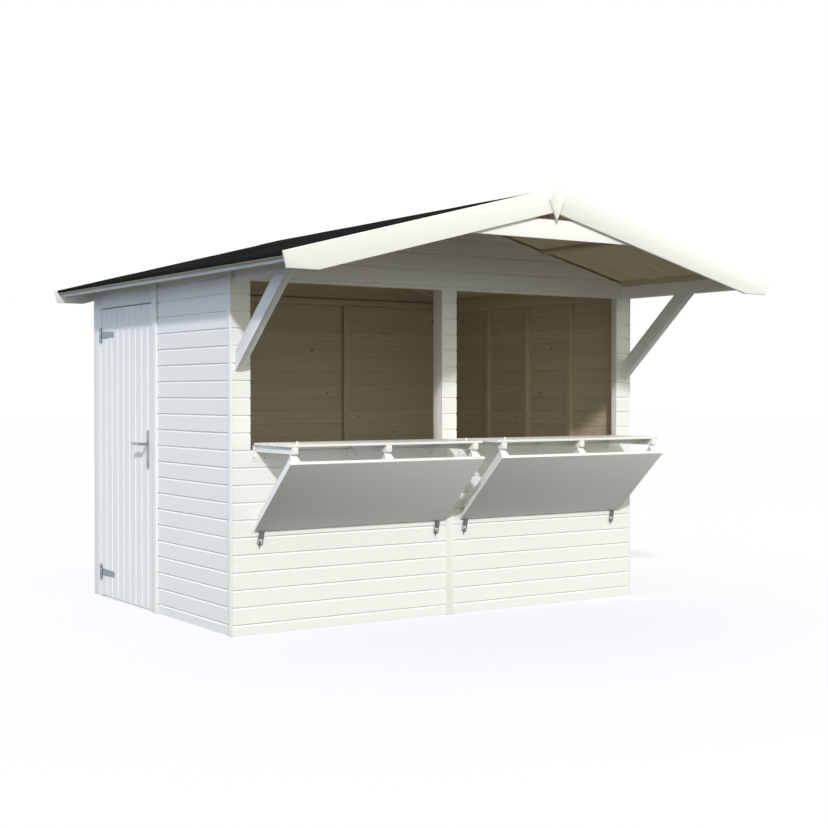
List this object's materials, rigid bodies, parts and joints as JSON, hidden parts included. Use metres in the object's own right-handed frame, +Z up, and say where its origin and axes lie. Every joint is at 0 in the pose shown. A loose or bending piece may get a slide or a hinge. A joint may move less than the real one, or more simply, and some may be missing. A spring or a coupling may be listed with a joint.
{
  "type": "wooden market hut",
  "caption": "White boarded wooden market hut with a low gable roof, front canopy on braces, serving windows with fold-down counters, and a hinged side door.",
  "frame": {"origin": "on the ground, at the middle of the hut's outline seen from above", "axes": "+X to the right along the serving front, +Y from the front to the back, +Z up"},
  "size_m": [3.43, 3.251, 2.52],
  "materials": {
    "white_paint": "satin white paint",
    "bare_wood": "planed, unpainted",
    "roofing_felt": "matt mineral felt",
    "zinc_steel": "zinc plated",
    "clasp_steel": "dull zinc",
    "satin_steel": "satin"
  },
  "bodies": {
    "hut": {"front_wall_lower": "white_paint", "front_pier_left": "white_paint", "front_pier_right": "white_paint", "front_post_boards": "white_paint", "front_gable": "white_paint", "left_wall": "white_paint", "door_header": "white_paint", "door_stile": "white_paint", "right_wall_front": "white_paint", "right_wall_back": "white_paint", "back_wall": "white_paint", "corner_trims": "white_paint", "cover_battens": "white_paint", "eave_fascias": "white_paint", "barge_front_left": "white_paint", "barge_front_right": "white_paint", "barge_back_left": "white_paint", "barge_back_right": "white_paint", "gable_board": "white_paint", "finial": "white_paint", "canopy_braces": "white_paint", "counter_left": "white_paint", "counter_right": "white_paint", "counter_bearers": "white_paint", "counter_pegs": "white_paint", "shutter_left": "white_paint", "shutter_right": "white_paint", "shutter_battens": "white_paint", "shutter_hinges": "white_paint", "front_studs": "bare_wood", "front_rails": "bare_wood", "side_studs": "bare_wood", "side_rails": "bare_wood", "back_studs": "bare_wood", "back_rails": "bare_wood", "roof_deck_left": "bare_wood", "roof_deck_right": "bare_wood", "ridge_beam": "bare_wood", "purlins": "bare_wood", "eave_beams": "bare_wood", "eave_fillets": "bare_wood", "roof_felt": "roofing_felt", "door_hinge_plates": "zinc_steel", "shutter_clasps": "clasp_steel"},
    "door": {"door_leaf": "white_paint", "door_ledges": "bare_wood", "door_straps": "zinc_steel", "handle_plates": "satin_steel"},
    "lever": {"door_lever": "satin_steel"}
  },
  "joints": [
    {"name": "door_swing", "type": "hinge", "parent": "hut", "child": "door", "pos_m": [-1.491, 1.35, 0.96], "axis": [0, 0, -1], "range_deg": [0, 130]},
    {"name": "lever_turn", "type": "hinge", "parent": "door", "child": "lever", "pos_m": [-1.475, 0.5785, 1.045], "axis": [-1, 0, 0], "range_deg": [0, 45], "stiffness_Nm_per_rad": 1.2, "springref_deg": -28.65}
  ]
}
